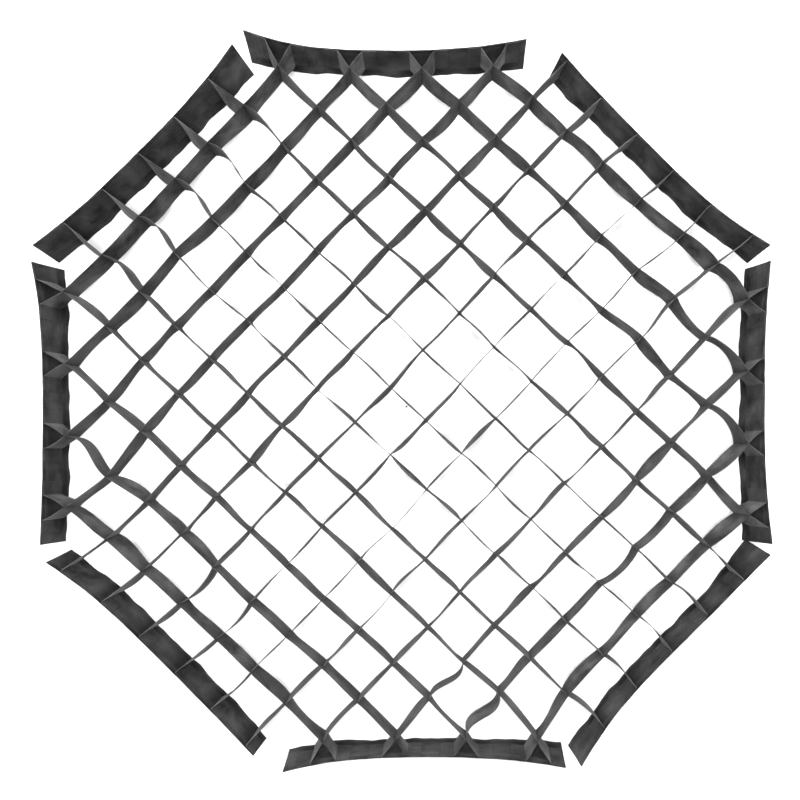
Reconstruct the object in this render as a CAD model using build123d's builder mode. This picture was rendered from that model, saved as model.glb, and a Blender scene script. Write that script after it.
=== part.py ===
"""Fabric honeycomb grid for an eight-sided softbox, standing on the lower edges of its border.

Fabric ribbons stand on edge in two crossing families and slot into each other like an egg crate.
Eight border bands close the octagon, and each carries a strip of hook tape on its outer face. The
bands are deeper than the ribbons, and all of them are flush at the top.
The long ribbons run along X. The cross ribbons run along Y and pass over the storage fold, which
is the line y = 0 at the grid's top face. Every piece that passes over the fold is made in two
halves, because the back half folds over onto the front half.
"""

import os
from math import sqrt

from build123d import *

# Driving dimensions, in millimetres
across_flats = 800.0        # outer face of one hook tape to that of the opposite one
grid_depth = 50.0           # height of every border band
ribbon_depth = 35.0         # height of every ribbon, hung from the grid's top face
cell_pitch = 57.0           # one ribbon to the next, in both families
long_ribbon_count = 14
cross_ribbon_count = 13
ribbon_thickness = 0.8
slit_clearance = 0.2        # free space on each side of a ribbon in a slit
band_length = 310.0
band_thickness = 1.4
band_corner = 2.0
slanted_band_shift = 8.0    # along its own length, which brings it nearer to its four crossings
tape_length = 302.0
tape_width = 46.0
tape_thickness = 1.6
tape_corner = 6.0
fold_gap = 1.0              # between the two halves of a piece that passes over the fold

# Places that follow from them
band_face = across_flats / 2 - tape_thickness - band_thickness
tape_face = across_flats / 2 - tape_thickness
slit_width = ribbon_thickness + 2 * slit_clearance
mid_depth = grid_depth / 2
ribbon_bottom = grid_depth - ribbon_depth
slit_depth = ribbon_depth / 2

long_offsets = [(i - (long_ribbon_count - 1) / 2) * cell_pitch for i in range(long_ribbon_count)]
cross_offsets = [(i - (cross_ribbon_count - 1) / 2) * cell_pitch for i in range(cross_ribbon_count)]

# Each side of the octagon: its outward direction, and how far its band sits along its own tangent
sides = {
    "right": ((1, 0), 0),
    "back_right": ((1, 1), slanted_band_shift),
    "back": ((0, 1), 0),
    "back_left": ((-1, 1), -slanted_band_shift),
    "left": ((-1, 0), 0),
    "front_left": ((-1, -1), slanted_band_shift),
    "front": ((0, -1), 0),
    "front_right": ((1, -1), -slanted_band_shift),
}
sides_over_fold = ("right", "left")

os.makedirs("parts", exist_ok=True)


def reach(offset):
    """Distance from the centre to the border's inner face along a ribbon at this offset."""
    return min(band_face, sqrt(2) * band_face - abs(offset))


def crossings(offset, others, start):
    """Places along a ribbon at this offset, past its start, where the other family crosses it."""
    return [place for place in others if start < place < reach(offset)]


def save(part, name):
    part.label = name
    export_step(part, f"parts/{name}.step")


def save_halves(part, name):
    """Cuts a piece along the fold and writes its front and back halves."""
    with BuildPart() as front_half:
        add(part)
        split(bisect_by=Plane.XZ.offset(fold_gap / 2), keep=Keep.TOP)
    save(front_half.part, f"{name}_front_half")
    with BuildPart() as back_half:
        add(part)
        split(bisect_by=Plane.XZ.offset(-fold_gap / 2), keep=Keep.BOTTOM)
    save(back_half.part, f"{name}_back_half")


def ribbon_outline(offset):
    """Plan of a ribbon along X, with its ends cut to lie against the border's inner faces."""
    low, high = offset - ribbon_thickness / 2, offset + ribbon_thickness / 2
    return [(-reach(low), low), (reach(low), low), (reach(high), high), (-reach(high), high)]


# Long ribbons, slit from their top edge down to the middle
for number, offset in enumerate(long_offsets, 1):
    slits = crossings(offset, cross_offsets, -reach(offset))
    with BuildPart() as long_ribbon:
        with BuildSketch(Plane.XY.offset(ribbon_bottom)):
            Polygon(*ribbon_outline(offset), align=None)
        extrude(amount=ribbon_depth)
        with BuildSketch(Plane.XY.offset(ribbon_bottom + slit_depth)):
            with Locations([(place, offset) for place in slits]):
                Rectangle(slit_width, 2 * ribbon_thickness)
        extrude(amount=slit_depth, mode=Mode.SUBTRACT)
    save(long_ribbon.part, f"long_ribbon_{number:02d}")

# Cross ribbons, slit from their lower edge up to the middle
for number, offset in enumerate(cross_offsets, 1):
    slits = crossings(offset, long_offsets, -reach(offset))
    with BuildPart() as cross_ribbon:
        with BuildSketch(Plane.XY.offset(ribbon_bottom)):
            Polygon(*[(x, y) for y, x in ribbon_outline(offset)], align=None)
        extrude(amount=ribbon_depth)
        with BuildSketch(Plane.XY.offset(ribbon_bottom)):
            with Locations([(offset, place) for place in slits]):
                Rectangle(2 * ribbon_thickness, slit_width)
        extrude(amount=slit_depth, mode=Mode.SUBTRACT)
    save_halves(cross_ribbon.part, f"cross_ribbon_{number:02d}")

# Border bands, and the hook tape sewn to the outer face of each
for side, (outward, shift) in sides.items():
    outward = Vector(*outward).normalized()
    tangent = Vector(0, 0, 1).cross(outward)
    middle = tangent * shift + Vector(0, 0, mid_depth)
    with BuildPart() as band:
        with BuildSketch(Plane(middle + outward * band_face, tangent, outward)):
            RectangleRounded(band_length, grid_depth, band_corner)
        extrude(amount=band_thickness)
    with BuildPart() as hook_tape:
        with BuildSketch(Plane(middle + outward * tape_face, tangent, outward)):
            RectangleRounded(tape_length, tape_width, tape_corner)
        extrude(amount=tape_thickness)
    write = save_halves if side in sides_over_fold else save
    write(band.part, f"{side}_band")
    write(hook_tape.part, f"{side}_hook_tape")
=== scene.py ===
"""Looks of the softbox honeycomb grid: limp nylon ribbons, hemmed border bands, hook strips and thread.

The CAD grid is perfectly square. The real one is limp and lies pulled askew, so every piece here is
cloth built on the CAD's lattice and then displaced: the whole lattice by lay(), each ribbon by its
own seeded slack, and each border band by how it bows.
"""

import math

import bpy
import numpy as np
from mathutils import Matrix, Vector


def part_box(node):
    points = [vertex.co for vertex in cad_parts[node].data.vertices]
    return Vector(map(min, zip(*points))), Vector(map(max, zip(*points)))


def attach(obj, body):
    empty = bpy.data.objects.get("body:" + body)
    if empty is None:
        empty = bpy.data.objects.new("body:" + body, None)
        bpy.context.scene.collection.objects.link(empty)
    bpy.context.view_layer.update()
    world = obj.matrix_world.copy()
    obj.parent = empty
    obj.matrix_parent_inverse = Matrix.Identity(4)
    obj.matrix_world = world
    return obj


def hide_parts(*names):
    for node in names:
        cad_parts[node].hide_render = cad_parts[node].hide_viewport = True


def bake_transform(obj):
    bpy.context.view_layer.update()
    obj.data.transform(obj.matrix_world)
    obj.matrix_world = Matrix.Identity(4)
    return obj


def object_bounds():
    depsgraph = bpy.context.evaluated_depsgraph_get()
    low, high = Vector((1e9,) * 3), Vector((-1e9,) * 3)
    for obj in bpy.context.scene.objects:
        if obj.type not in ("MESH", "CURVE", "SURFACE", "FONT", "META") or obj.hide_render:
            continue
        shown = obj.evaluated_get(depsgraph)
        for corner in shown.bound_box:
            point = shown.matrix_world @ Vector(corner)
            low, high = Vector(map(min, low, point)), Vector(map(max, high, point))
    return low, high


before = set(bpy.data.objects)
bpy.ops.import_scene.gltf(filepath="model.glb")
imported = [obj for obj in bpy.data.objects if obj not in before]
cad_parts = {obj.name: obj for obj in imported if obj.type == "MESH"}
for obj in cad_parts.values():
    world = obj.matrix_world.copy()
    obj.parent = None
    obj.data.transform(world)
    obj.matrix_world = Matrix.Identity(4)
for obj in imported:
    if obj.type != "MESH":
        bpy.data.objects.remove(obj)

cad_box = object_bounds()
random = np.random.default_rng(834)

MM = 0.001
DEPTH = cad_box[1].z
RIBBON_THICKNESS = 0.5 * MM
BAND_THICKNESS = 0.9 * MM
HEM_THICKNESS = 1.6 * MM
HEM_WIDTH = 8 * MM
DRAWN_OUT = 3.5 * MM          # how much longer than in CAD a band is at each end
STRIP_THICKNESS = 0.9 * MM
STRIP_GAP = 0.1 * MM
TAB_LENGTH = 15 * MM
CROSSING_HALF = 0.4 * MM      # half the width of a slit
STRIP_CORNER = 6 * MM
FLARE_POWER = 2.6             # how late along a band its flare sets in
CORNER_FLARE = 0.35           # share of a slanted band's flare that the crossings beside it follow
DRAW_REACH = 60 * MM          # how far into the grid a leaning band draws the ribbons' lower edges
PATH_EASE = 0.6               # how rounded a ribbon runs through its crossings, from 0 to 1
CAMERA_HEIGHT = 1100 * MM     # above the grid's top face

# Heights of a ribbon's mesh rows, as shares of its depth. The slits end on the middle one.
RIBBON_ROWS = np.array([0, 0.04, 0.16, 0.33, 0.5, 0.67, 0.84, 0.96, 1])
MIDDLE_ROW = 4


# ---------------------------------------------------------------- the CAD lattice and the borders

def middle(node):
    low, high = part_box(node)
    return (low + high) / 2


LONG_Y = np.array([middle(f"long_ribbon_{n:02d}").y for n in range(1, 15)])
CROSS_X = np.array([middle(f"cross_ribbon_{n:02d}_front_half").x for n in range(1, 14)])
RIBBON_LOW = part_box("long_ribbon_01")[0].z
RIBBON_DEPTH = DEPTH - RIBBON_LOW
CELL = LONG_Y[1] - LONG_Y[0]
BAND_OUTER = -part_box("front_hook_tape")[0].y
BAND_INNER = -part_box("front_band")[1].y
BAND_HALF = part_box("front_band")[1].x + DRAWN_OUT
STRIP_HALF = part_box("front_hook_tape")[1].x + DRAWN_OUT
STRIP_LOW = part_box("front_hook_tape")[0].z
STRIP_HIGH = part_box("front_hook_tape")[1].z
CORNER_NODE = abs(CROSS_X[-1]) + abs(LONG_Y[3])  # |x| + |y| of the crossings beside a slanted band
CORNER_CLEARANCE = BAND_INNER - CORNER_NODE / math.sqrt(2)
HALF_FLATS = BAND_OUTER


class Side:
    """One side of the octagon, and how its band lies.

    out: how far the band's middle lies outside (+) or inside (-) its CAD place
    slide: where the band's middle is along its own tangent
    flare: how far each end bends outward
    lean: how far the lower edge leans inward, at the low end, the middle and the high end. It is set
          so that the band looks as wide as in the photo
    pull: how far the ribbon ends on it are dragged along the tangent
    slack: how much further in the crossings next to it lie than they would if drawn tight
    body: the CAD body it moves with, or None where it passes over the fold
    """

    WAVES = ((19, 0.25), (31, 0.4), (47, 0.6), (68, 0.6), (105, 0.7), (160, 0.8))  # length, height in mm

    def __init__(self, name, angle, out, slide, flare, lean, pull, body, slack=0):
        self.name, self.body = name, body
        turn = math.radians(angle)
        self.outward = np.array([math.cos(turn), math.sin(turn)])
        self.tangent = np.array([-math.sin(turn), math.cos(turn)])
        self.out, self.slide, self.pull, self.slack = out * MM, slide * MM, pull * MM, slack * MM
        self.flare = [f * MM for f in flare]
        self.lean = [n * MM for n in lean]
        self.phases = random.uniform(0, 2 * math.pi, 6)

    def distance(self, along):
        """From the centre to the outermost face, at a place along the tangent."""
        share = (along - self.slide) / BAND_HALF
        low = self.flare[0] * np.clip(-share, 0, 2) ** FLARE_POWER
        high = self.flare[1] * np.clip(share, 0, 2) ** FLARE_POWER
        return BAND_OUTER + self.out + low + high

    def leaning(self, along):
        """How far the lower edge lies inside the upper one, at a place along the tangent."""
        share = (along - self.slide) / BAND_HALF
        low, middle, high = self.lean
        towards_low, towards_high = np.clip(-share, 0, 1) ** 3, np.clip(share, 0, 1) ** 3
        return middle + (low - middle) * towards_low + (high - middle) * towards_high

    def ripple(self, along, height):
        """Soft upright folds, which die out towards the taut upper edge."""
        total = 0
        for phase, (wave, deep) in zip(self.phases, self.WAVES):
            total = total + deep * MM * np.sin(2 * math.pi * along / (wave * MM) + phase + 0.6 * height)
        return total * (0.12 + 0.65 * (1 - height) ** 1.3)

    def place(self, along, height, inset):
        """Points of the band: along the tangent, at a share of the depth, that far inside its face."""
        along, height = np.broadcast_arrays(np.asarray(along, float), np.asarray(height, float))
        distance = self.distance(along) + self.ripple(along, height) - inset
        distance = distance - self.leaning(along) * (1 - height)
        plan = distance[..., None] * self.outward + along[..., None] * self.tangent
        return np.concatenate([plan, (height * DEPTH)[..., None]], axis=-1)


SIDES = [
    Side("right", 0, 0, -5, (17, 4), (14, 9, 14), 1, None),
    Side("back_right", 45, -3, 22, (13, 23), (13, 9, 17), 1, "folding_half", slack=3),
    Side("back", 90, 11.5, 10, (11, 10), (21, 12, 14), 12, "folding_half"),
    Side("back_left", 135, 6, -1, (13, 3), (18, 10, 10), 15, "folding_half", slack=8),
    Side("left", 180, -3, 0, (13, 2), (14, 10, 8), 2, None),
    Side("front_left", 225, -4, 22, (17, 12), (11, 6, 15), 9, "fixed_half", slack=2),
    Side("front", 270, 10, 12, (18, 0), (12, 8, 18), 16, "fixed_half"),
    Side("front_right", 315, 4, 2, (9, 7), (18, 13, 14), 17, "fixed_half", slack=2.5),
]
side_named = {side.name: side for side in SIDES}


def lay(x, y):
    """Where a crossing of the flat pattern comes to lie: turned askew, drawn in, and bowed at the edges."""
    u, v = x / HALF_FLATS, y / HALF_FLATS
    right, back, front = max(u, 0), max(v, 0), max(-v, 0)
    along = 4 - 12.7 * v + 8 * right**4 + 8 * back**8
    across = 7.6 * u - 13 * v + 4 * back**4 + 3 * front**4 * (1 - 10 * u * u)
    return np.array([x + along * MM, y + across * MM])


# Crossings dragged out of line, as (long ribbon, cross ribbon): how far along X and Y, in millimetres
DRAGGED = {
    (5, 13): (7, -5),
    (6, 13): (3, -8),
    (7, 13): (0, -3),
    (5, 12): (5, 1),
    (5, 11): (6, 0),
    (3, 11): (3, 3),
    (12, 3): (-4, -4),
    (11, 2): (-7, -7),
    (10, 2): (2, -2),
    (9, 2): (3, -3),
}


def on_corner(x, y):
    return abs(x) + abs(y) > CORNER_NODE - 1 * MM


def in_lattice(x, y):
    return abs(x) + abs(y) < CORNER_NODE + 1 * MM


def corner_side(x, y):
    return side_named[("back_" if y > 0 else "front_") + ("right" if x > 0 else "left")]


def drawn_in(spot):
    """How the leaning bands draw the ribbons' lower edges inward, less and less away from them."""
    total = np.zeros(2)
    for side in SIDES:
        along = float(np.dot(spot, side.tangent))
        if abs(along - side.slide) < BAND_HALF:
            away = max(side.distance(along) - float(np.dot(spot, side.outward)), 0)
            share = RIBBON_DEPTH / DEPTH * math.exp(-away / DRAW_REACH)
            total -= share * side.leaning(along) * side.outward
    return total


def lay_crossings():
    """Near (upper) and far (lower) ends of the upright line where two ribbons cross, for each crossing."""
    near, far = {}, {}
    long_shift = random.normal(0, 1.0, len(LONG_Y)) * MM
    cross_shift = random.normal(0, 1.0, len(CROSS_X)) * MM
    for i, y in enumerate(LONG_Y):
        for j, x in enumerate(CROSS_X):
            if not in_lattice(x, y):
                continue
            jitter = random.normal(0, 0.8, 2) * MM
            lean = random.normal(0, 0.9, 2) * MM
            if on_corner(x, y):
                side = corner_side(x, y)
                along = float(np.dot((x, y), side.tangent)) + side.pull
                flared = side.distance(along) - BAND_OUTER - side.out
                distance = BAND_INNER - CORNER_CLEARANCE + side.out + CORNER_FLARE * flared - side.slack
                near[i, j] = distance * side.outward + along * side.tangent + jitter * 0.4
            else:
                dragged = np.array(DRAGGED.get((i + 1, j + 1), (0, 0))) * MM
                near[i, j] = lay(x, y) + (cross_shift[j], long_shift[i]) + jitter + dragged
            far[i, j] = near[i, j] + lean + drawn_in(near[i, j])
    return near, far


NEAR, FAR = lay_crossings()


# ---------------------------------------------------------------- cloth meshes

def new_mesh(name, points, faces, material, uv=None, painted_shade=None):
    """A smooth-shaded piece. The optional painted shade says how far the cloth is darkened at each point,
    from 0 to 1.
    """
    mesh = bpy.data.meshes.new(name)
    mesh.from_pydata([tuple(p) for p in points], [], [tuple(f) for f in faces])
    mesh.validate()
    if uv is not None:
        layer = mesh.uv_layers.new(name="cloth")
        corners = np.zeros(len(mesh.loops), np.int32)
        mesh.loops.foreach_get("vertex_index", corners)
        layer.data.foreach_set("uv", np.asarray(uv, np.float32)[corners].ravel())
    if painted_shade is not None:
        darkened = mesh.attributes.new("painted_shade", "FLOAT", "POINT")
        darkened.data.foreach_set("value", np.asarray(painted_shade, np.float32))
    mesh.polygons.foreach_set("use_smooth", [True] * len(mesh.polygons))
    mesh.set_sharp_from_angle(angle=math.radians(50))
    piece = bpy.data.objects.new(name, mesh)
    bpy.context.scene.collection.objects.link(piece)
    mesh.materials.append(material)
    return piece


def thick_sheet(name, surface, thickness, material, kept=None, painted_shade=0.0):
    """A closed sheet around a grid of points, with a thickness for each row and an amount of painted shade
    for each column.

    kept marks the squares of the grid that have cloth.
    """
    columns, rows = surface.shape[:2]
    if kept is None:
        kept = np.ones((columns - 1, rows - 1), bool)
    along = np.gradient(surface, axis=0)
    upward = np.gradient(surface, axis=1)
    normal = np.cross(along, upward)
    normal /= np.linalg.norm(normal, axis=2, keepdims=True)
    offset = normal * (np.asarray(thickness) / 2)[None, :, None]
    points = np.concatenate([(surface + offset).reshape(-1, 3), (surface - offset).reshape(-1, 3)])
    index = np.arange(columns * rows).reshape(columns, rows)
    other = columns * rows
    framed = np.pad(kept, 1)
    faces = []
    for c, r in np.argwhere(kept):
        a, b, d, e = index[c, r], index[c + 1, r], index[c + 1, r + 1], index[c, r + 1]
        faces += [(a, b, d, e), (e + other, d + other, b + other, a + other)]
        beside = ((a, b, framed[c + 1, r]), (b, d, framed[c + 2, r + 1]),
                  (d, e, framed[c + 1, r + 2]), (e, a, framed[c, r + 1]))
        faces += [(q, p, p + other, q + other) for p, q, cloth in beside if not cloth]
    step = np.linalg.norm(np.diff(surface[:, rows // 2], axis=0), axis=1)
    length = np.concatenate([[0], np.cumsum(step)])
    uv = np.stack(np.broadcast_arrays(length[:, None], surface[:, :, 2]), axis=-1).reshape(-1, 2)
    painted_shade = np.broadcast_to(np.reshape(painted_shade, (-1, 1)), (columns, rows)).ravel()
    return new_mesh(name, points, faces, material, np.concatenate([uv, uv]), np.concatenate([painted_shade, painted_shade]))


def smooth_path(points, samples):
    """A smooth line through the points, and the sideways direction, at these shares of each cell."""
    points = np.asarray(points)
    gap = np.diff(points, axis=0)
    size = np.linalg.norm(gap, axis=1)[:, None]
    slope = gap / size
    tangent = np.empty_like(points)
    tangent[0], tangent[-1] = slope[0], slope[-1]
    tangent[1:-1] = (slope[1:] * size[:-1] + slope[:-1] * size[1:]) / (size[1:] + size[:-1])
    line, sideways = [], []
    for k, shares in enumerate(samples):
        u = shares[:, None]
        spot = (2 * u**3 - 3 * u**2 + 1) * points[k] + (3 * u**2 - 2 * u**3) * points[k + 1]
        spot += PATH_EASE * size[k] * ((u**3 - 2 * u**2 + u) * tangent[k] + (u**3 - u**2) * tangent[k + 1])
        across = np.array([-slope[k][1], slope[k][0]])
        line.append(spot)
        sideways.append(np.broadcast_to(across, spot.shape))
    return line, sideways


# ---------------------------------------------------------------- ribbons

# Cells where a ribbon has slack enough to show. (family, ribbon, cell counted from the low end, or back
# from the high end if negative): how far its upper and its lower edge bulge, to the left of the ribbon's
# run, and how far it swings as an S, in millimetres.
SLACK = {
    ("cross", 5, -1): (0, 6, 0),
    ("cross", 6, -1): (0, 7, 0),
    ("cross", 7, -1): (0, 7, 0),
    ("cross", 8, -1): (0, 7, 0),
    ("cross", 9, -1): (0, 6, 0),
    ("cross", 5, -2): (-4, -6, 2),
    ("cross", 6, -2): (-5, -6, 2),
    ("cross", 7, -2): (-5, -6, 2),
    ("cross", 8, -2): (-5, -6, 2),
    ("cross", 9, -2): (-3, -4, 1),
    ("cross", 4, -2): (0, -3, 0),
    ("cross", 3, -3): (0, -2, 0),
    ("cross", 2, -2): (-5, -4, 3),
    ("cross", 2, -3): (0, -5, 0),
    ("cross", 1, -2): (0, 0, 1),
    ("cross", 13, 1): (-6, -9, 0),
    ("cross", 12, 1): (-6, -10, 0),
    ("cross", 11, 1): (-6, -10, 0),
    ("cross", 12, 2): (5, 3, 0),
    ("cross", 13, 2): (-3, 0, 0),
    ("cross", 13, 4): (-1, 2, 0),
    ("cross", 13, 5): (-3, -3, 0),
    ("cross", 5, 0): (-3, -5, 0),
    ("cross", 6, 0): (-3, -4, 0),
    ("cross", 7, 0): (-3, -4, 0),
    ("cross", 8, 0): (-3, -4, 0),
    ("long", 9, 0): (0, -5, 0),
    ("long", 8, 0): (0, -4, 0),
    ("long", 7, 0): (0, -4, 0),
    ("long", 6, 0): (-2, -4, 0),
    ("long", 8, 1): (-5, -6, 0),
    ("long", 7, 1): (-4, -4, 0),
    ("long", 13, 1): (1, 4, 0),
    ("long", 2, 1): (0, 2, 6),
    ("long", 3, 2): (-3, -4, 4),
    ("long", 2, 5): (-5, -6, 0),
    ("long", 2, 6): (-3, -3, 0),
    ("long", 2, 7): (-3, 0, 0),
    ("long", 2, 8): (-4, 1, 0),
    ("long", 3, 7): (-3, 0, 0),
    ("long", 3, 8): (-3, 3, 0),
    ("long", 1, 6): (-2, 2, 0),
}


def end_of(family, line, far_end):
    """The side that a ribbon's end is sewn to, where along it, and which way its tab runs."""
    sign = 1 if far_end else -1
    if abs(line) < BAND_HALF:
        name = {"long": ("left", "right"), "cross": ("front", "back")}[family][far_end]
        side = side_named[name]
        spot = (sign * BAND_INNER, line) if family == "long" else (line, sign * BAND_INNER)
        along = float(np.dot(spot, side.tangent))
        down = (0, -1) if family == "long" else (-1, 0)
        way = float(np.sign(np.dot(down, side.tangent)))
    else:
        reach = math.sqrt(2) * BAND_INNER - abs(line)
        spot = (sign * reach, line) if family == "long" else (line, sign * reach)
        side = corner_side(*spot)
        along = float(np.dot(spot, side.tangent))
        run = (sign, 0) if family == "long" else (0, sign)
        way = float(np.sign(np.dot(run, side.tangent)))
    along += side.pull
    limit_along = side.slide + way * (BAND_HALF - 2 * MM)
    return side, along, way, min(TAB_LENGTH, abs(limit_along - along))


BAND_FACE = STRIP_THICKNESS + STRIP_GAP + (BAND_THICKNESS + HEM_THICKNESS) / 2
TAB_INSET = BAND_FACE + RIBBON_THICKNESS / 2 + 0.1 * MM
BEND = 1.2 * MM               # the radius of the fold between a ribbon and its tab

# The cloth is darkened at crossings and tabs. It stands in for what is probably shade in the photo.
PAINTED_SHADE_REACH = 9 * MM
TAB_PAINTED_SHADE = 0.6


def tab_points(end, level, shares):
    """Points of a sewn tab, from its corner (0) to its tip (1), at one level."""
    side, along, way, length = end
    return side.place(along + way * length * shares, level / DEPTH, TAB_INSET)[:, :2]


def ribbon(family, number):
    """One ribbon, from the tip of one tab to the tip of the other, slit at every crossing."""
    line = LONG_Y[number - 1] if family == "long" else CROSS_X[number - 1]
    keys = [key for key in sorted(NEAR) if key[0 if family == "long" else 1] == number - 1]
    near = [NEAR[key] for key in keys]
    far = [FAR[key] for key in keys]
    cells = len(keys) + 1
    ends = [end_of(family, line, False), end_of(family, line, True)]
    passes_fold = family == "cross"
    samples = []
    for k in range(cells):
        after = near[k][1] if k < len(near) else 1
        before = near[k - 1][1] if k else -1
        count = 31 if passes_fold and before < 0 < after else 13
        first = (BEND if k == 0 else CROSSING_HALF) / CELL
        last = 1 - (BEND if k == cells - 1 else CROSSING_HALF) / CELL
        samples.append(np.linspace(first, last, count))
    slack = {
        "near": random.normal(0, 0.6, (cells, 2)) * (1, 0.4) * MM,
        "far": random.normal(0, 1.3, (cells, 2)) * (1, 0.5) * MM,
        "belly": random.normal(0, 0.9, cells) * MM,
        "sag": np.abs(random.normal(0, 0.7, cells)) * MM,
        "lift": np.abs(random.normal(0, 0.7, cells)) * MM,
    }
    for (kind, which, cell), (upper, lower, swing) in SLACK.items():
        if (kind, which) == (family, number):
            slack["near"][cell] = np.array([upper, swing]) * MM
            slack["far"][cell] = np.array([lower, swing]) * MM
    tab_shares = np.linspace(1, BEND / TAB_LENGTH, 7)
    surface = []
    for height in RIBBON_ROWS:
        level = RIBBON_LOW + height * RIBBON_DEPTH
        corners = [tab_points(end, level, np.array([0.0]))[0] for end in ends]
        crossings = [(1 - height) * f + height * n for n, f in zip(near, far)]
        body, sideways = smooth_path([corners[0], *crossings, corners[1]], samples)
        rise = []
        for k, shares in enumerate(samples):
            arch = np.sin(math.pi * shares)
            wave = np.sin(2 * math.pi * shares)
            bulge, swing = (1 - height) * slack["far"][k] + height * slack["near"][k]
            belly = slack["belly"][k] * 4 * height * (1 - height)
            sway = (bulge + belly) * arch + swing * wave
            body[k] = body[k] + sway[:, None] * sideways[k]
            rise.append((1 - height) ** 2 * slack["lift"][k] * arch - height**2 * slack["sag"][k] * arch)
        tabs = [tab_points(end, level, tab_shares) for end in ends]
        body, rise = np.concatenate(body), np.concatenate(rise)
        turn = np.linspace(0, 1, 6)[1:-1, None]
        first_bend = (1 - turn) ** 2 * tabs[0][-1] + 2 * turn * (1 - turn) * corners[0] + turn**2 * body[0]
        last_bend = (1 - turn) ** 2 * body[-1] + 2 * turn * (1 - turn) * corners[1] + turn**2 * tabs[1][-1]
        plan = np.concatenate([tabs[0], first_bend, body, last_bend, tabs[1][::-1]])
        flat = len(tabs[0]) + len(first_bend)
        rise = np.concatenate([np.zeros(flat), rise, np.zeros(flat)])
        surface.append(np.column_stack([plan, level + rise]))
    surface = np.array(surface).transpose(1, 0, 2)
    kept = np.ones((len(surface) - 1, len(RIBBON_ROWS) - 1), bool)
    column = flat
    for shares in samples[:-1]:
        column += len(shares)
        slit = slice(MIDDLE_ROW, None) if family == "long" else slice(None, MIDDLE_ROW)
        kept[column - 1, slit] = False
    # Painted shade along the ribbon: full on the tabs, and fading away from each crossing.
    painted_shade_columns = [np.full(flat, TAB_PAINTED_SHADE)]
    for k, shares in enumerate(samples):
        since = shares * CELL if k else np.inf
        until = (1 - shares) * CELL if k < cells - 1 else np.inf
        painted_shade_columns.append(np.exp(-np.minimum(since, until) / PAINTED_SHADE_REACH) * np.ones(len(shares)))
    painted_shade_columns.append(np.full(flat, TAB_PAINTED_SHADE))
    thickness = np.full(len(RIBBON_ROWS), RIBBON_THICKNESS)
    piece = thick_sheet(f"nylon_{family}_ribbon_{number:02d}", surface, thickness, NYLON, kept,
                        np.concatenate(painted_shade_columns))
    if passes_fold:
        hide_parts(f"cross_ribbon_{number:02d}_front_half", f"cross_ribbon_{number:02d}_back_half")
        over_the_fold(piece)
    else:
        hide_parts(f"long_ribbon_{number:02d}")
        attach(piece, "fixed_half" if line < 0 else "folding_half")
    return ends


def over_the_fold(piece):
    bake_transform(piece)


# ---------------------------------------------------------------- thread

def stitch_row(points, outward, stitch=2.7 * MM, gap=1.1 * MM, radius=0.28 * MM):
    """Stitches along a line of points on cloth: each a short thread that dips into it at both ends."""
    points = np.asarray(points)
    step = np.linalg.norm(np.diff(points, axis=0), axis=1)
    place = np.concatenate([[0], np.cumsum(step)])
    starts = np.arange(gap / 2, place[-1] - stitch, stitch + gap)
    shares = np.array([0, 0.18, 0.5, 0.82, 1])
    rise = np.array([-0.9, 0.25, 0.5, 0.25, -0.9]) * radius
    at = (starts[:, None] + shares * stitch).ravel()
    spots = np.column_stack([np.interp(at, place, points[:, k]) for k in range(3)])
    normals = np.column_stack([np.interp(at, place, outward[:, k]) for k in range(3)])
    normals /= np.linalg.norm(normals, axis=1, keepdims=True)
    spots = spots + normals * np.tile(rise, len(starts))[:, None]
    spots = spots.reshape(len(starts), 5, 3)
    normals = normals.reshape(len(starts), 5, 3)
    run = spots[:, -1:] - spots[:, :1]
    run /= np.linalg.norm(run, axis=2, keepdims=True)
    across = np.cross(normals, run)
    ring = np.arange(5) * 2 * math.pi / 5
    tube = (spots[:, :, None] + radius * (np.cos(ring)[None, None, :, None] * normals[:, :, None]
                                          + np.sin(ring)[None, None, :, None] * across[:, :, None]))
    faces = []
    for k in range(len(starts)):
        base = k * 25
        for a in range(4):
            first, second = base + a * 5, base + a * 5 + 5
            for b in range(5):
                c = (b + 1) % 5
                faces.append((first + b, first + c, second + c, second + b))
        faces.append(tuple(base + b for b in (4, 3, 2, 1, 0)))
        faces.append(tuple(base + 20 + b for b in range(5)))
    return tube.reshape(-1, 3), faces


def join_rows(rows):
    points, faces, count = [], [], 0
    for some, those in rows:
        points.append(some)
        faces += [tuple(v + count for v in face) for face in those]
        count += len(some)
    return np.concatenate(points), faces


def follow_side(piece, side):
    if side.body:
        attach(piece, side.body)
    else:
        over_the_fold(piece)


# ---------------------------------------------------------------- borders

def spread(start, stop, step):
    """Evenly spaced places no further apart than step."""
    return np.linspace(start, stop, max(2, math.ceil(abs(stop - start) / step) + 1))


def border_band(side, ends):
    """A doubled band with a hem folded along each edge, sewn through near the hem's inner edge."""
    along = spread(side.slide - BAND_HALF, side.slide + BAND_HALF, 2.5 * MM)
    hem = HEM_WIDTH / DEPTH
    rows = np.array([0, 0.02, hem / 2, hem - 0.01, hem + 0.01, 0.3, 0.5, 0.7,
                     0.99 - hem, 1.01 - hem, 1 - hem / 2, 0.98, 1])
    in_hem = (rows < hem) | (rows > 1 - hem)
    thickness = np.where(in_hem, HEM_THICKNESS, BAND_THICKNESS)
    thickness[[0, -1]] *= 0.75
    inset = STRIP_THICKNESS + STRIP_GAP + BAND_THICKNESS / 2
    surface = side.place(along[:, None], rows[None, :], inset)
    # Painted shade on the band: darkest where each ribbon end meets it, fading to either side.
    painted_shade = np.max([np.exp(-((along - end[1]) / (1.5 * PAINTED_SHADE_REACH)) ** 2) for end in ends], axis=0)
    piece = thick_sheet(f"border_band_{side.name}", surface, thickness, BAND_CLOTH, painted_shade=painted_shade)
    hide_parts(*cad_nodes(side, "band"))
    follow_side(piece, side)


def cad_nodes(side, kind):
    if side.body:
        return [f"{side.name}_{kind}"]
    return [f"{side.name}_{kind}_{half}_half" for half in ("front", "back")]


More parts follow.
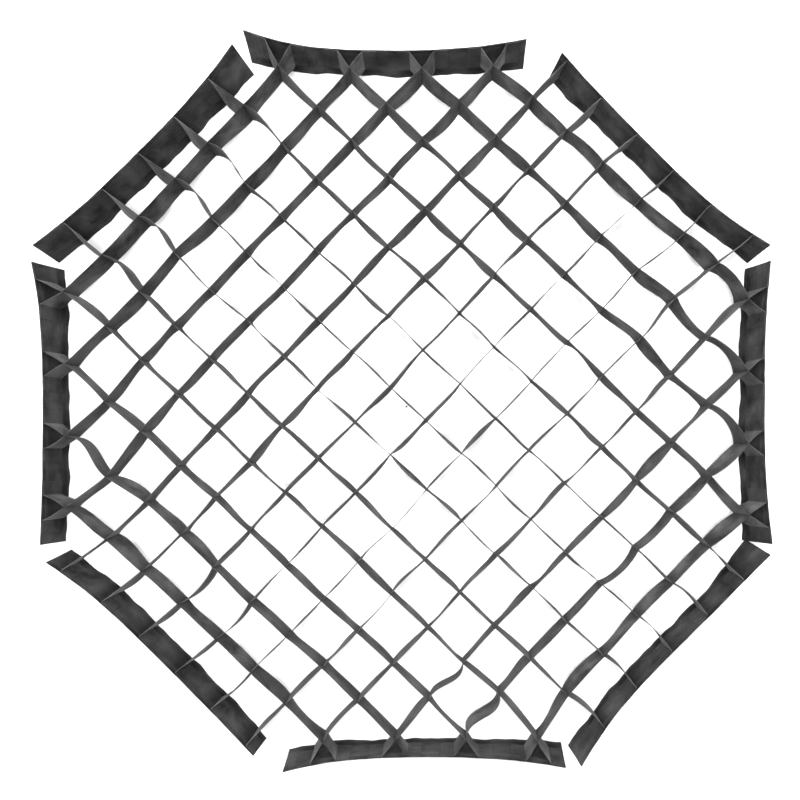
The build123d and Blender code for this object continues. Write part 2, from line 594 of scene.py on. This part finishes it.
def strip_edges(along, side, corner=STRIP_CORNER):
    """Lower and upper edge of the hook strip at each place along it, with rounded corners."""
    from_end = STRIP_HALF - np.abs(along - side.slide)
    cut = np.clip(corner - from_end, 0, corner)
    drop = corner - np.sqrt(corner**2 - cut**2)
    return STRIP_LOW + drop, STRIP_HIGH - drop


def hook_strip(side):
    """The woven tape of hooks on the band's outer face, and its hooks."""
    ends = [side.slide - STRIP_HALF, side.slide + STRIP_HALF]
    rounded = spread(0, STRIP_CORNER, 1 * MM)
    between = spread(ends[0] + STRIP_CORNER, ends[1] - STRIP_CORNER, 2.5 * MM)
    along = np.unique(np.concatenate([ends[0] + rounded, between, ends[1] - rounded]).round(6))
    low, high = strip_edges(along, side)
    rows = np.array([0, 0.02, 0.05, 0.2, 0.4, 0.6, 0.8, 0.95, 0.98, 1])
    height = (low[:, None] + (high - low)[:, None] * rows) / DEPTH
    surface = side.place(along[:, None], height, STRIP_THICKNESS / 2)
    thickness = np.full(len(rows), STRIP_THICKNESS)
    thickness[[0, -1]] *= 0.7
    piece = thick_sheet(f"hook_strip_{side.name}", surface, thickness, HOOK_TAPE)
    hooks = hook_field(side)
    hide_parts(*cad_nodes(side, "hook_tape"))
    follow_side(piece, side)
    follow_side(hooks, side)


def hook_field(side, pitch=3.0 * MM, margin=3.5 * MM):
    """Rows of small bent hooks, turned alternately up and down."""
    columns = np.arange(side.slide - STRIP_HALF + margin, side.slide + STRIP_HALF - margin, pitch)
    levels = np.arange(STRIP_LOW + margin, STRIP_HIGH - margin, pitch)
    bend = np.array([[0, -0.1], [0.55, -0.02], [0.95, 0.3], [0.8, 0.75]]) * MM  # out and up, along a hook
    ring = np.array([[-1, -1], [1, -1], [0, 1]]) * 0.16 * MM
    points, faces = [], []
    for row, level in enumerate(levels):
        way = 1 if row % 2 else -1
        for column in columns + (row % 2) * pitch / 2:
            edges = strip_edges(np.array(column), side, corner=7 * MM)
            if not edges[0] + margin / 2 < level < edges[1] - margin / 2:
                continue
            base = len(points)
            foot = side.place(column, level / DEPTH, 0)
            for out, up in bend:
                for sideways, lift in ring:
                    plan = foot[:2] + side.outward * (out + lift * 0.5) + side.tangent * sideways
                    points.append((*plan, foot[2] + way * up + lift * 0.6))
            for a in range(3):
                for b in range(3):
                    c = (b + 1) % 3
                    first, second = base + 3 * a, base + 3 * a + 3
                    faces.append((first + b, first + c, second + c, second + b))
            faces.append((base + 11, base + 10, base + 9))
    piece = new_mesh(f"hooks_{side.name}", points, faces, HOOK_PLASTIC)
    return piece


def seams(side):
    """Thread on a band: the hem's two rows inside, and the row round the hook strip outside."""
    rows = []
    along = spread(side.slide - BAND_HALF + 3 * MM, side.slide + BAND_HALF - 3 * MM, 3 * MM)
    inward = np.append(-side.outward, 0)
    hem = (HEM_WIDTH - 2 * MM) / DEPTH
    for height in (hem, 1 - hem):
        line = side.place(along, height, BAND_FACE)
        rows.append(stitch_row(line, np.broadcast_to(inward, line.shape)))
    margin = 2.2 * MM
    left, right = side.slide - STRIP_HALF + margin, side.slide + STRIP_HALF - margin
    low, high = STRIP_LOW + margin, STRIP_HIGH - margin
    start, stop = left + 4 * MM, right - 4 * MM
    for places, level in ((spread(start, stop, 3 * MM), low), (spread(stop, start, 3 * MM), high)):
        line = side.place(places, level / DEPTH, 0)
        rows.append(stitch_row(line, np.broadcast_to(-inward, line.shape)))
    for place in (left, right):
        levels = spread(low + 4 * MM, high - 4 * MM, 3 * MM)
        line = side.place(place, levels / DEPTH, 0)
        rows.append(stitch_row(line, np.broadcast_to(-inward, line.shape)))
    piece = new_mesh(f"seams_{side.name}", *join_rows(rows), THREAD)
    follow_side(piece, side)


def tab_stitches(side, ends):
    """Two upright rows of thread on every ribbon tab sewn to this side."""
    inward = np.append(-side.outward, 0)
    rows = []
    heights = np.linspace(RIBBON_LOW / DEPTH + 0.04, 0.96, 12)
    for _, along, way, length in ends:
        for share in (0.35, 0.8):
            line = side.place(along + way * length * share, heights, TAB_INSET + 0.55 * RIBBON_THICKNESS)
            rows.append(stitch_row(line, np.broadcast_to(inward, line.shape)))
    piece = new_mesh(f"tab_stitches_{side.name}", *join_rows(rows), THREAD)
    follow_side(piece, side)


# ---------------------------------------------------------------- materials

def material(name, color, roughness, sheen=0.0, specular=0.3):
    made = bpy.data.materials.new(name)
    made.use_nodes = True
    shader = made.node_tree.nodes["Principled BSDF"]
    shader.inputs["Base Color"].default_value = (*color, 1)
    shader.inputs["Roughness"].default_value = roughness
    shader.inputs["Sheen Weight"].default_value = sheen
    shader.inputs["Sheen Roughness"].default_value = 0.4
    shader.inputs["Specular IOR Level"].default_value = specular
    return made, made.node_tree, shader


def add_node(tree, kind, **values):
    made = tree.nodes.new(kind)
    for name, value in values.items():
        if hasattr(made, name):
            setattr(made, name, value)
        else:
            made.inputs[name.replace("_", " ").title()].default_value = value
    return made


def woven(name, dark, light, roughness, sheen, specular, thread, strength):
    """Woven cloth: crossing threads and creases as bump, cloudy shade and gloss, and painted shade from a
    mesh attribute that darkens it.
    """
    made, tree, shader = material(name, light, roughness, sheen, specular)
    link = tree.links.new
    cloth = add_node(tree, "ShaderNodeUVMap", uv_map="cloth")
    warp = add_node(tree, "ShaderNodeTexWave", bands_direction="X", Scale=0.314 / thread, Distortion=0.4)
    weft = add_node(tree, "ShaderNodeTexWave", bands_direction="Y", Scale=0.314 / thread, Distortion=0.4)
    link(cloth.outputs["UV"], warp.inputs["Vector"])
    link(cloth.outputs["UV"], weft.inputs["Vector"])
    weave = add_node(tree, "ShaderNodeMath", operation="MAXIMUM")
    link(warp.outputs["Fac"], weave.inputs[0])
    link(weft.outputs["Fac"], weave.inputs[1])
    place = add_node(tree, "ShaderNodeTexCoord")
    noise = add_node(tree, "ShaderNodeTexNoise", Scale=38.0, Detail=5.0, Roughness=0.6)
    link(place.outputs["Object"], noise.inputs["Vector"])
    cloud = add_node(tree, "ShaderNodeMapRange")
    cloud.inputs["From Min"].default_value = 0.32
    cloud.inputs["From Max"].default_value = 0.68
    link(noise.outputs["Fac"], cloud.inputs["Value"])
    crease = add_node(tree, "ShaderNodeTexNoise", Scale=90.0, Detail=4.0, Roughness=0.55)
    link(place.outputs["Object"], crease.inputs["Vector"])
    shade = add_node(tree, "ShaderNodeMix", data_type="RGBA")
    shade.inputs["A"].default_value = (*dark, 1)
    shade.inputs["B"].default_value = (*light, 1)
    blend = add_node(tree, "ShaderNodeMath", operation="MULTIPLY")
    link(cloud.outputs["Result"], blend.inputs[0])
    link(weave.outputs[0], blend.inputs[1])
    # Painted shade: this mesh attribute pulls the colour towards the dark tone.
    painted_shade = add_node(tree, "ShaderNodeAttribute", attribute_name="painted_shade")
    unshaded = add_node(tree, "ShaderNodeMath", operation="SUBTRACT")
    unshaded.inputs[0].default_value = 1.0
    link(painted_shade.outputs["Fac"], unshaded.inputs[1])
    lit = add_node(tree, "ShaderNodeMath", operation="MULTIPLY")
    link(blend.outputs[0], lit.inputs[0])
    link(unshaded.outputs[0], lit.inputs[1])
    link(lit.outputs[0], shade.inputs["Factor"])
    link(shade.outputs["Result"], shader.inputs["Base Color"])
    rough = add_node(tree, "ShaderNodeMapRange")
    rough.inputs["To Min"].default_value = roughness - 0.12
    rough.inputs["To Max"].default_value = roughness + 0.1
    link(cloud.outputs["Result"], rough.inputs["Value"])
    link(rough.outputs["Result"], shader.inputs["Roughness"])
    fine = add_node(tree, "ShaderNodeBump", Strength=strength, Distance=0.0002)
    link(weave.outputs[0], fine.inputs["Height"])
    broad = add_node(tree, "ShaderNodeBump", Strength=0.5, Distance=0.003)
    link(crease.outputs["Fac"], broad.inputs["Height"])
    link(broad.outputs["Normal"], fine.inputs["Normal"])
    link(fine.outputs["Normal"], shader.inputs["Normal"])
    return made


def plain_fibre(name, dark, light, roughness, scale):
    """Thread or moulded hooks: shade broken up finely, with a slight twist of bump."""
    made, tree, shader = material(name, light, roughness, 0.1)
    link = tree.links.new
    place = add_node(tree, "ShaderNodeTexCoord")
    grain = add_node(tree, "ShaderNodeTexNoise", Scale=scale, Detail=2.0)
    link(place.outputs["Object"], grain.inputs["Vector"])
    shade = add_node(tree, "ShaderNodeMix", data_type="RGBA")
    shade.inputs["A"].default_value = (*dark, 1)
    shade.inputs["B"].default_value = (*light, 1)
    link(grain.outputs["Fac"], shade.inputs["Factor"])
    link(shade.outputs["Result"], shader.inputs["Base Color"])
    bump = add_node(tree, "ShaderNodeBump", Strength=0.3, Distance=0.0002)
    link(grain.outputs["Fac"], bump.inputs["Height"])
    link(bump.outputs["Normal"], shader.inputs["Normal"])
    return made


NYLON = woven("black_nylon", (0.003, 0.003, 0.003), (0.150, 0.147, 0.152), 0.5, 0.12, 0.35, 0.8 * MM, 0.5)
BAND_CLOTH = woven("black_oxford", (0.003, 0.003, 0.003), (0.075, 0.073, 0.076), 0.6, 0.1, 0.3,
                   1.1 * MM, 0.7)
HOOK_TAPE = woven("hook_tape_ground", (0.016, 0.016, 0.017), (0.075, 0.074, 0.077), 0.75, 0.2, 0.3,
                  1.5 * MM, 0.8)
HOOK_PLASTIC = plain_fibre("hook_plastic", (0.05, 0.05, 0.052), (0.12, 0.12, 0.123), 0.35, 900.0)
THREAD = plain_fibre("black_thread", (0.02, 0.02, 0.02), (0.055, 0.054, 0.056), 0.6, 1500.0)


# ---------------------------------------------------------------- making the pieces

sewn = {side.name: [] for side in SIDES}
for family, lines in (("long", LONG_Y), ("cross", CROSS_X)):
    for number in range(1, len(lines) + 1):
        for end in ribbon(family, number):
            sewn[end[0].name].append(end)

for side in SIDES:
    border_band(side, sewn[side.name])
    hook_strip(side)
    seams(side)
    tab_stitches(side, sewn[side.name])


# ---------------------------------------------------------------- floor, light and camera

FLOOR_RADIUS = 2.0
FLOOR_LEVEL = -0.4 * MM       # just below the lowest folds of the cloth


def lathe(name, profile, material, steps=96):
    """A surface of revolution about Z, from pairs of radius and height."""
    turn = np.linspace(0, 2 * math.pi, steps, endpoint=False)
    points = [(r * math.cos(t), r * math.sin(t), z) for r, z in profile for t in turn]
    faces = []
    for row in range(len(profile) - 1):
        for k in range(steps):
            a, b = row * steps + k, row * steps + (k + 1) % steps
            faces.append((a, a + steps, b + steps, b))
    mesh = bpy.data.meshes.new(name)
    mesh.from_pydata(points, [], faces)
    mesh.materials.append(material)
    piece = bpy.data.objects.new(name, mesh)
    bpy.context.scene.collection.objects.link(piece)
    return piece


def floor():
    """White paper under the grid. Seen edge-on, the cloth would mirror it, so reflections leave it out."""
    paper, _, _ = material("pale_floor", (0.86, 0.86, 0.86), 0.9, specular=0.1)
    piece = lathe("floor", [(0.001, FLOOR_LEVEL), (FLOOR_RADIUS, FLOOR_LEVEL)], paper)
    piece.visible_glossy = False


def backdrop():
    """An evenly bright sweep beyond the floor, which only the camera sees."""
    sweep, _, shader = material("pale_backdrop", (0, 0, 0), 1.0, specular=0.0)
    shader.inputs["Emission Color"].default_value = (0.99, 0.99, 0.99, 1)
    shader.inputs["Emission Strength"].default_value = 1.0
    bend = np.linspace(0, math.pi / 2, 9)
    arc = [(6 + 2 * math.sin(t), FLOOR_LEVEL + 2 - 2 * math.cos(t)) for t in bend]
    piece = lathe("backdrop", [(FLOOR_RADIUS, FLOOR_LEVEL), *arc, (8, 8)], sweep)
    piece.visible_diffuse = False
    piece.visible_glossy = False
    piece.visible_shadow = False


UP = Vector((1, 1, 0)).normalized()      # the camera's upward and rightward directions on the floor
RIGHT = Vector((1, -1, 0)).normalized()


def soft_light(name, place, size, power):
    data = bpy.data.lights.new(name, "AREA")
    data.shape, data.size, data.energy = "DISK", size, power
    light = bpy.data.objects.new(name, data)
    light.location = place
    light.rotation_mode = "QUATERNION"
    light.rotation_quaternion = (Vector((0, 0, 0)) - place).to_track_quat("-Z", "Y")
    light.visible_camera = False
    bpy.context.scene.collection.objects.link(light)


def studio():
    """Light from the top and the two sides of the picture, and a lamp overhead that whitens the floor."""
    world = bpy.data.worlds.new("studio")
    world.use_nodes = True
    world.node_tree.nodes["Background"].inputs["Color"].default_value = (1, 1, 1, 1)
    world.node_tree.nodes["Background"].inputs["Strength"].default_value = 0.05
    bpy.context.scene.world = world
    soft_light("top", UP * 2.4 + Vector((0, 0, 2.0)), 0.6, 55)
    soft_light("left", UP * 0.7 - RIGHT * 2.3 + Vector((0, 0, 1.8)), 0.6, 50)
    soft_light("right", UP * 0.5 + RIGHT * 2.4 + Vector((0, 0, 1.8)), 0.6, 50)
    soft_light("overhead", Vector((0, 0, 2.6)), 1.8, 118)
    bpy.context.scene.view_settings.view_transform = "Standard"


def camera():
    """Straight above, a little off the middle, with a shift that brings the grid back into the frame."""
    data = bpy.data.cameras.new("camera")
    data.lens = 44.25
    data.sensor_width = 36
    data.shift_x, data.shift_y = -0.060, 0.069
    data.clip_end = 60
    eye = bpy.data.objects.new("camera", data)
    off_centre = RIGHT * 48.6 * MM - UP * 57 * MM
    eye.location = off_centre + Vector((0, 0, DEPTH + CAMERA_HEIGHT))
    eye.rotation_euler = (0, 0, -math.radians(45))
    bpy.context.scene.collection.objects.link(eye)
    bpy.context.scene.camera = eye


floor()
backdrop()
studio()
camera()
